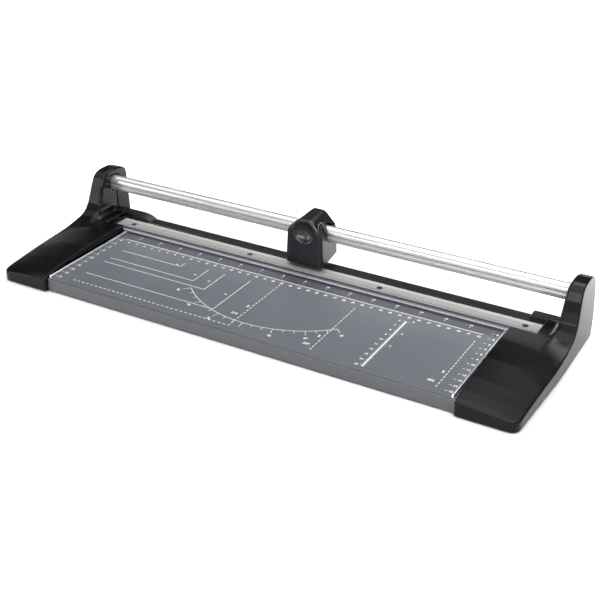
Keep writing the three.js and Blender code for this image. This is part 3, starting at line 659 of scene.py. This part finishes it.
def cover_shell(x, y, z):
    """The cover hollowed out, with ways for the rail, the retainer screws and the clamp shoe."""
    whole = cover_form(x, y, z)
    hollow = whole + COVER_WALL
    below = z < COVER_UNDER + COVER_WALL + 1
    hollow = np.where(below, cover_form(x, y, z + COVER_WALL + 2) + COVER_WALL, hollow)
    rib_front, rib_rear, rib_top = SHOE_RIB
    rib = both(slab(y, rib_front, rib_rear), z - rib_top)
    shell = without(both(whole, COVER_UNDER - z, 0.6), without(hollow, rib))
    shell = without(shell, polygon(y, z, UNDERCUT), 0.5)
    shell = without(shell, rail_way(y, z, RAIL_GAP), 0.5)
    screw_low, screw_high = RAIL_Z - SCREW_ROOM, RAIL_Z + PRESS_TRAVEL + SCREW_ROOM
    screw_gap = both(np.abs(np.abs(x) - SCREW_X) - SCREW_ROOM, slab(z, screw_low, screw_high))
    shell = without(shell, both(screw_gap, SCREW_REAR - y), 0.3)
    shoe_front, shoe_rear, shoe_top = SHOE_POCKET
    shoe = both(np.abs(x) - SHOE_HALF, both(slab(y, shoe_front, shoe_rear), z - shoe_top))
    return without(shell, shoe)


def make_head_cover():
    low = (-COVER_HALF, COVER_FRONT, COVER_UNDER)
    high = (COVER_HALF, COVER_REAR, COVER_TOP)
    x, y, z = grid(low, high, HEAD_STEP)
    vertices, faces = skin(cover_shell(x, y, z), x, y, z)
    vertices[:, 0] += HEAD_X
    faces = faces.tolist()
    mesh_piece("cover_shell", vertices, faces, GRIP_PLASTIC, "grip", "head_cover", smooth_angle=60)


make_head_cover()


# ---- Rail, bed and strips -----------------------------------------------------------------
CROWN_HALF_DEPTH = 6.7
TOP_LINE_ANGLES = (50, 92)
TOP_LINE_RAISED, TOP_LINE_SUNK = 0.03, -0.05


def rail_outline():
    """Section of the rail: round crown, a groove under it and a bright ledge on each side."""
    ledge = RAIL_HALF_DEPTH
    half = [
        (ledge, -RAIL_HALF_HEIGHT, 0.7), (ledge, -2.9, 0.25), (ledge - 1, -1.5, 0.3), (5.8, -1.4, 0.15),
        (5.8, -0.8, 0.15), (6.55, -0.45, 0.2),
    ]
    crown = [
        (CROWN_HALF_DEPTH * math.cos(a), RAIL_HALF_HEIGHT * math.sin(a), 0)
        for a in np.linspace(0.06, math.pi - 0.06, 33)
    ]
    mirrored = [(-u, v, r) for u, v, r in reversed(half)]
    corners = [(RAIL_Y + u, RAIL_Z + v, r) for u, v, r in half + crown + mirrored]
    return rounded_outline(corners, 3)


def make_rail():
    vertices, faces = swept_bar(rail_outline(), "x", RAIL_LOW[0] + 1, RAIL_HIGH[0] - 1)
    mesh_piece("rail", vertices, faces, RAIL_METAL, "base", "guide_rail", smooth_angle=30)


def crown_arc(lift):
    """Part of the crown's upper rear, raised off it by a lift."""
    depth, height = CROWN_HALF_DEPTH + lift, RAIL_HALF_HEIGHT + lift
    angles = np.radians(np.linspace(*TOP_LINE_ANGLES, 10))
    return [(RAIL_Y + depth * math.cos(a), RAIL_Z + height * math.sin(a)) for a in angles]


def make_rail_top_line():
    """A thin dark line that stands for a reflection along the rail's top."""
    outline = crown_arc(TOP_LINE_RAISED) + crown_arc(TOP_LINE_SUNK)[::-1]
    vertices, faces = swept_bar(outline, "x", RAIL_LOW[0] + 2, RAIL_HIGH[0] - 2)
    name, slot = "rail_top_line", "rail_aluminium"
    mesh_piece(name, vertices, faces, RAIL_SHADE, "base", None, smooth_angle=30)


def make_bed():
    """The folded plate: a flat top in front, a ledge behind and a turned-down edge at both."""
    front, rear = BED_LOW[1], BED_HIGH[1]
    foot, top = BED_LOW[2], BED_HIGH[2]
    ledge_front, plate = 42.6, 1.6
    under_ledge = LEDGE_TOP - plate
    outline = rounded_outline(
        [
            (front, foot, 0.3), (front, top, 1.6), (ledge_front, top, 0.5),
            (ledge_front, LEDGE_TOP, 0.2), (rear, LEDGE_TOP, 1.2), (rear, foot, 0.3),
            (rear - plate, foot, 0.3), (rear - plate, under_ledge, 0.6),
            (ledge_front - plate, under_ledge, 0.3), (ledge_front - plate, top - plate, 0.3),
            (front + plate, top - plate, 0.6), (front + plate, foot, 0.3),
        ]
    )
    vertices, faces = swept_bar(outline, "x", BED_LOW[0], BED_HIGH[0])
    mesh_piece("bed", vertices, faces, BED_PAINT, "base", "bed_plate")


def make_side_guides():
    """Bright stops at both ends of the sheet, their top edges rounded."""
    for name in ("side_guide_left", "side_guide_right"):
        low, high = box_mm(name)
        left, right, foot, top = low[0], high[0], low[2], high[2]
        outline = rounded_outline(
            [(left, foot, 0.2), (right, foot, 0.2), (right, top, 1.0), (left, top, 1.0)]
        )
        vertices, faces = swept_bar(outline, "y", low[1], high[1], 0.5)
        mesh_piece(name + "_rail", vertices, faces, BRIGHT_METAL, "base", name)


# The bar is this much thinner below, so that it stays clear of its springs when it is pressed.
SPRING_RELIEF = 0.35


def make_clear_bar():
    """The clear clamp bar: a bevelled front and a shallow groove along its top."""
    (_, front, under), (_, rear, top) = BAR_LOW, BAR_HIGH
    under += SPRING_RELIEF
    groove = top - 0.55
    outline = rounded_outline(
        [
            (front, under, 0.15), (rear, under, 0.2), (rear, top, 0.3), (front + 12.6, top, 0.2),
            (front + 11.6, groove, 0.2), (front + 9.6, groove, 0.2), (front + 8.6, top, 0.2),
            (front + 5, top, 0.4), (front, under + 0.5, 0.15),
        ],
        3,
    )
    vertices, faces = swept_bar(outline, "x", BAR_LOW[0], BAR_HIGH[0], 0.3)
    mesh_piece("clear_bar", vertices, faces, CLEAR, "clamp", "clamp_bar")


def make_thin_strips():
    """Bands along the bed at the cut: painted shade on the sheet and the strip's front, a painted
    highlight on the bar's front edge, and the strip's cut edge.
    """
    sheet_end, sheet_rear, sheet_top = SHEET_HIGH
    bar_end, _, bar_top = BAR_HIGH
    bar_front = BAR_LOW[1]
    on_strip = sheet_top - 0.02
    bands = (
        # name, half length, front and rear, underside, thickness, material, body, slot
        # Painted shade on the sheet in front of the clear bar.
        (
            "painted_shade_band", sheet_end, 20.6, sheet_rear, sheet_top, 0.02,
            PAINTED_SHADE, "base", "printed_sheet",
        ),
        # Painted highlight along the clear bar's front edge.
        (
            "bar_edge_highlight", bar_end, bar_front + 1.6, bar_front + 4.0, bar_top - 0.5, 0.3,
            PAINTED_EDGE_HIGHLIGHT, "clamp", "clear_plastic",
        ),
        # Painted shade across the strip's front, under the clear bar's sloping front.
        (
            "shaded_face", STRIP_HALF_LENGTH, 43.2, 47.6, on_strip, 0.04,
            PAINTED_SHADE, "base", "cutting_steel",
        ),
        (
            "cut_edge", STRIP_HALF_LENGTH, 60.4, STRIP_REAR - 0.6, on_strip, 0.05,
            CUT_EDGE, "base", "cutting_steel",
        ),
    )
    for name, half, front, rear, under, thick, material, body, slot in bands:
        top = under + thick
        outline = [(front, under), (rear, under), (rear, top), (front, top)]
        vertices, faces = swept_bar(outline, "x", -half, half)
        mesh_piece(name, vertices, faces, material, body, None)


make_rail()
make_rail_top_line()
make_bed()
make_side_guides()
make_clear_bar()
make_thin_strips()


# ---- Print on the sheet -------------------------------------------------------------------
PRINT_Z = SHEET_HIGH[2] + 0.02
PRINT_THICK = 0.05
DIGIT_WEIGHT = 0.14
# The print's own origin: its left edge and the ruler's number line.
PRINT_X = -221.0
PRINT_Y = 13.0


class Print:
    """Thin raised white strokes and numbers, gathered into one mesh."""

    def __init__(self):
        self.vertices = []
        self.faces = []

    def stroke(self, x0, y0, x1, y1, width):
        """A flat bar from one point to another."""
        along = Vector((x1 - x0, y1 - y0))
        side = Vector((-along.y, along.x)).normalized() * width / 2
        first = len(self.vertices)
        for z in (PRINT_Z, PRINT_Z + PRINT_THICK):
            for u, v, sign in ((x0, y0, -1), (x1, y1, -1), (x1, y1, 1), (x0, y0, 1)):
                place = (PRINT_X + u + sign * side.x, PRINT_Y + v + sign * side.y, z)
                self.vertices.append(place)
        for ring in ((3, 2, 1, 0), (4, 5, 6, 7), (0, 1, 5, 4), (1, 2, 6, 5), (2, 3, 7, 6), (3, 0, 4, 7)):
            self.faces.append(tuple(first + i for i in ring))

    def path(self, points, width):
        for (x0, y0), (x1, y1) in zip(points, points[1:]):
            self.stroke(x0, y0, x1, y1, width)

    def dashes(self, x0, y0, x1, y1, dash=3.0, gap=2.4, width=0.8):
        length = math.hypot(x1 - x0, y1 - y0)
        steps = int(length / (dash + gap))
        for k in range(steps + 1):
            a = k * (dash + gap) / length
            b = min(1.0, a + dash / length)
            self.stroke(
                x0 + (x1 - x0) * a, y0 + (y1 - y0) * a, x0 + (x1 - x0) * b, y0 + (y1 - y0) * b, width
            )

    def number(self, text, x, y, size, turn=0.0):
        """Raised digits centred on a point and turned by an angle in degrees."""
        curve = bpy.data.curves.new("digits", "FONT")
        curve.body = str(text)
        curve.size = size * MM
        curve.align_x = "CENTER"
        curve.align_y = "CENTER"
        curve.resolution_u = 2
        curve.offset = DIGIT_WEIGHT * MM
        curve.extrude = PRINT_THICK * MM / 2
        made = bpy.data.objects.new("digits", curve)
        scene.collection.objects.link(made)
        mesh = made.to_mesh()
        place = Matrix.Translation((PRINT_X + x, PRINT_Y + y, PRINT_Z + PRINT_THICK / 2))
        place = place @ Matrix.Rotation(math.radians(turn), 4, "Z")
        first = len(self.vertices)
        self.vertices += [tuple(place @ (v.co / MM)) for v in mesh.vertices]
        self.faces += [tuple(first + i for i in f.vertices) for f in mesh.polygons]
        made.to_mesh_clear()
        bpy.data.objects.remove(made)
        bpy.data.curves.remove(curve)


INCH = 25.4
EIGHTH = INCH / 8
SIDE_ZERO = 51.8  # where zero would be on the side columns and the short ruler
PAPER_LOW = -96.7


def side_row(k):
    return SIDE_ZERO - 10 * k


def ruler(sheet):
    """Centimetres and inches along the rear edge of the sheet."""
    line, cm_numbers, inch_numbers = 7, 1.2, 17
    inch_low, inch_high = 11.6, 14.6
    sheet.stroke(15, line, 423, line, 0.55)
    for mm in range(10, 421):
        length = 3.2 if mm % 10 == 0 else 2.3 if mm % 5 == 0 else 1.4
        sheet.stroke(mm, line, mm, line - length, 0.28)
    for cm in range(1, 43):
        sheet.number(cm, 10 * cm, cm_numbers, 3.6)
    for inch in range(1, 17):
        sheet.stroke(INCH * inch, inch_low, INCH * inch, inch_high, 0.4)
        sheet.number(inch, INCH * inch, inch_numbers, 3.6)


def side_columns(sheet):
    """Numbered centimetre rows at both ends of the sheet."""
    columns = ((9, 3.6, 6.2, 5), (434, 428.4, 431, 4))
    for numbers, mark_left, mark_right, first_row in columns:
        for k in range(first_row, 16):
            sheet.number(k, numbers, side_row(k), 3.8)
            sheet.stroke(mark_left, side_row(k), mark_right, side_row(k), 0.5)


def photo_sizes(sheet):
    """Nested right-angled lines for common photo sizes: the corner's place and its number."""
    left, high = 26, -10
    corners = [(100.8, -18.3, 4), (130, -38.3, 5), (150, -48.3, 6), (180, -78, 7)]
    for x, y, size in corners:
        sheet.stroke(left, y, x, y, 0.6)
        sheet.stroke(x, high, x, y, 0.6)
        sheet.number(size, x - 5.6, (y + high) / 2 - 2, 4, 90)


def paper_sizes(sheet):
    """Dashed lines for paper 210, 297 and 420 mm wide."""
    sheet.dashes(210, 3, 210, PAPER_LOW)
    sheet.dashes(25, PAPER_LOW, 210, PAPER_LOW)
    sheet.dashes(297, -8, 297, -97)
    sheet.dashes(420, -8, 420, -97)
    for x, y, size in ((210, -74, 210), (297, -89.6, 297), (420, -89.6, 420)):
        sheet.number(size, x - 8, y, 4.4)
        sheet.number(size, x - 4, y + 18, 2.8, 90)


def protractor(sheet):
    """An arc with a mark each five degrees and a number each fifteen."""
    centre_x, centre_y, radius = 219.3, 30.0, 116.0
    short_mark, long_mark, numbers = 120, 124, 129

    def at(angle, r):
        a = math.radians(angle)
        return centre_x + r * math.sin(a), centre_y - r * math.cos(a)

    sheet.path([at(a, radius) for a in range(-45, 46, 3)], 0.6)
    for angle in range(-45, 46, 5):
        reach = long_mark if angle % 15 == 0 else short_mark
        sheet.stroke(*at(angle, radius), *at(angle, reach), 0.5)
        if angle % 15 == 0 and angle:
            sheet.number(90 - abs(angle), *at(angle, numbers), 4, angle)


def short_ruler(sheet):
    """A thick line across the sheet with millimetres to its left and eighths of an inch to its right."""
    x, high, low = 350.6, -6.9, -99.2
    first_inch = 46
    sheet.stroke(x, high, x, low, 1.5)
    for mm in range(int(high - low) + 1):
        left = 3.2 if mm % 10 == 0 else 1.7
        sheet.stroke(x, high - mm, x - left, high - mm, 0.3)
    for k in range(int((high - low) / EIGHTH) + 1):
        right = 3.2 if k % 8 == 0 else 1.9
        sheet.stroke(x, high - EIGHTH * k, x + right, high - EIGHTH * k, 0.3)
    for k in range(6, 16):
        sheet.number(k, x - 6.4, side_row(k), 3.6)
    for k in range(3, 6):
        sheet.number(k, x + 6.5, first_inch - INCH * (k - 1), 3.6)


def make_strip_marks():
    """Fine slanting marks along the front of the cutting strip."""
    marks = Print()
    first, last, pitch = -20.0, 462.0, 2.8
    front, rear, slant, lift = 35.4, 38.9, 1.4, 0.03
    for x in np.arange(first, last, pitch):
        marks.stroke(x, front, x + slant, rear, 1.0)
    marks.vertices = [(x, y, z + lift) for x, y, z in marks.vertices]
    mesh_piece("strip_marks", marks.vertices, marks.faces, MARK_GREY, "base", None, 30)


def make_print():
    sheet = Print()
    for part in (ruler, side_columns, photo_sizes, paper_sizes, protractor, short_ruler):
        part(sheet)
    mesh_piece("printed_scales", sheet.vertices, sheet.faces, PRINT, "base", None, 30)


make_print()
make_strip_marks()


# ---- Studio -------------------------------------------------------------------------------
def make_floor():
    mesh = bpy.data.meshes.new("floor")
    size = 6.0
    corners = [(-size, -size, 0), (size, -size, 0), (size, size, 0), (-size, size, 0)]
    mesh.from_pydata(corners, [], [(0, 1, 2, 3)])
    pale = Surface("pale_floor")
    pale.colour(pale.mix(pale.ramp(pale.noise(400), 0, 1), (0.93, 0.93, 0.93), (0.94, 0.94, 0.94)))
    pale.set(Roughness=0.8)
    mesh.materials.append(pale.material)
    floor = bpy.data.objects.new("floor", mesh)
    scene.collection.objects.link(floor)


def area_light(name, place, target, width, height, power):
    """A rectangular light that looks from its place at a target."""
    data = bpy.data.lights.new(name, "AREA")
    data.shape = "RECTANGLE"
    data.size = width
    data.size_y = height
    data.energy = power
    light = bpy.data.objects.new(name, data)
    light.location = place
    light.rotation_euler = (Vector(target) - Vector(place)).to_track_quat("-Z", "Y").to_euler()
    scene.collection.objects.link(light)
    return light


# Greys of the sky from the horizon to overhead, and how strongly they shine.
SKY_GREYS = [(0.0, 0.48), (0.09, 0.48), (0.2, 0.02), (0.66, 0.02), (0.9, 1.15), (1.0, 1.15)]
SKY_STRENGTH = 2.3


def make_world():
    """White near the horizon, dark in the middle of the sky and bright overhead."""
    world = bpy.data.worlds.new("studio")
    world.use_nodes = True
    nodes, links = world.node_tree.nodes, world.node_tree.links
    direction = nodes.new("ShaderNodeTexCoord").outputs["Generated"]
    split = nodes.new("ShaderNodeSeparateXYZ")
    links.new(direction, split.inputs["Vector"])
    ramp = nodes.new("ShaderNodeValToRGB")
    elements = ramp.color_ramp.elements
    while len(elements) < len(SKY_GREYS):
        elements.new(1.0)
    for element, (place, grey) in zip(elements, SKY_GREYS):
        element.position = place
        element.color = (grey, grey, grey, 1)
    links.new(split.outputs["Z"], ramp.inputs["Fac"])
    sky = nodes["Background"]
    links.new(ramp.outputs["Color"], sky.inputs["Color"])
    sky.inputs["Strength"].default_value = SKY_STRENGTH
    scene.world = world


# Place and target in metres, width and height, power in watts.
LIGHTS = {
    "front_left": ((-1.5, -1.1, 0.5), (0, 0, 0), 0.9, 0.6, 7),
    "reflection_card": ((0.1, -1.45, 0.78), (0, 0.05, 0.05), 1.7, 0.45, 17),
    "key": ((0.87, -0.70, 1.12), (0, 0.06, 0.04), 0.4, 0.4, 7),
    "floor_behind": ((0.0, 0.62, 0.5), (0.0, 0.62, 0.0), 1.6, 0.5, 22),
}
BEHIND_SPREAD = 90


def make_studio():
    """Pale floor, grey sky and four lights. The card shows only in glossy surfaces."""
    make_floor()
    make_world()
    lights = {name: area_light(name, *setup) for name, setup in LIGHTS.items()}
    lights["reflection_card"].visible_diffuse = False
    lights["floor_behind"].data.spread = math.radians(BEHIND_SPREAD)
    lights["floor_behind"].visible_camera = False
    scene.view_settings.view_transform = "Standard"
    scene.view_settings.look = "None"


make_studio()
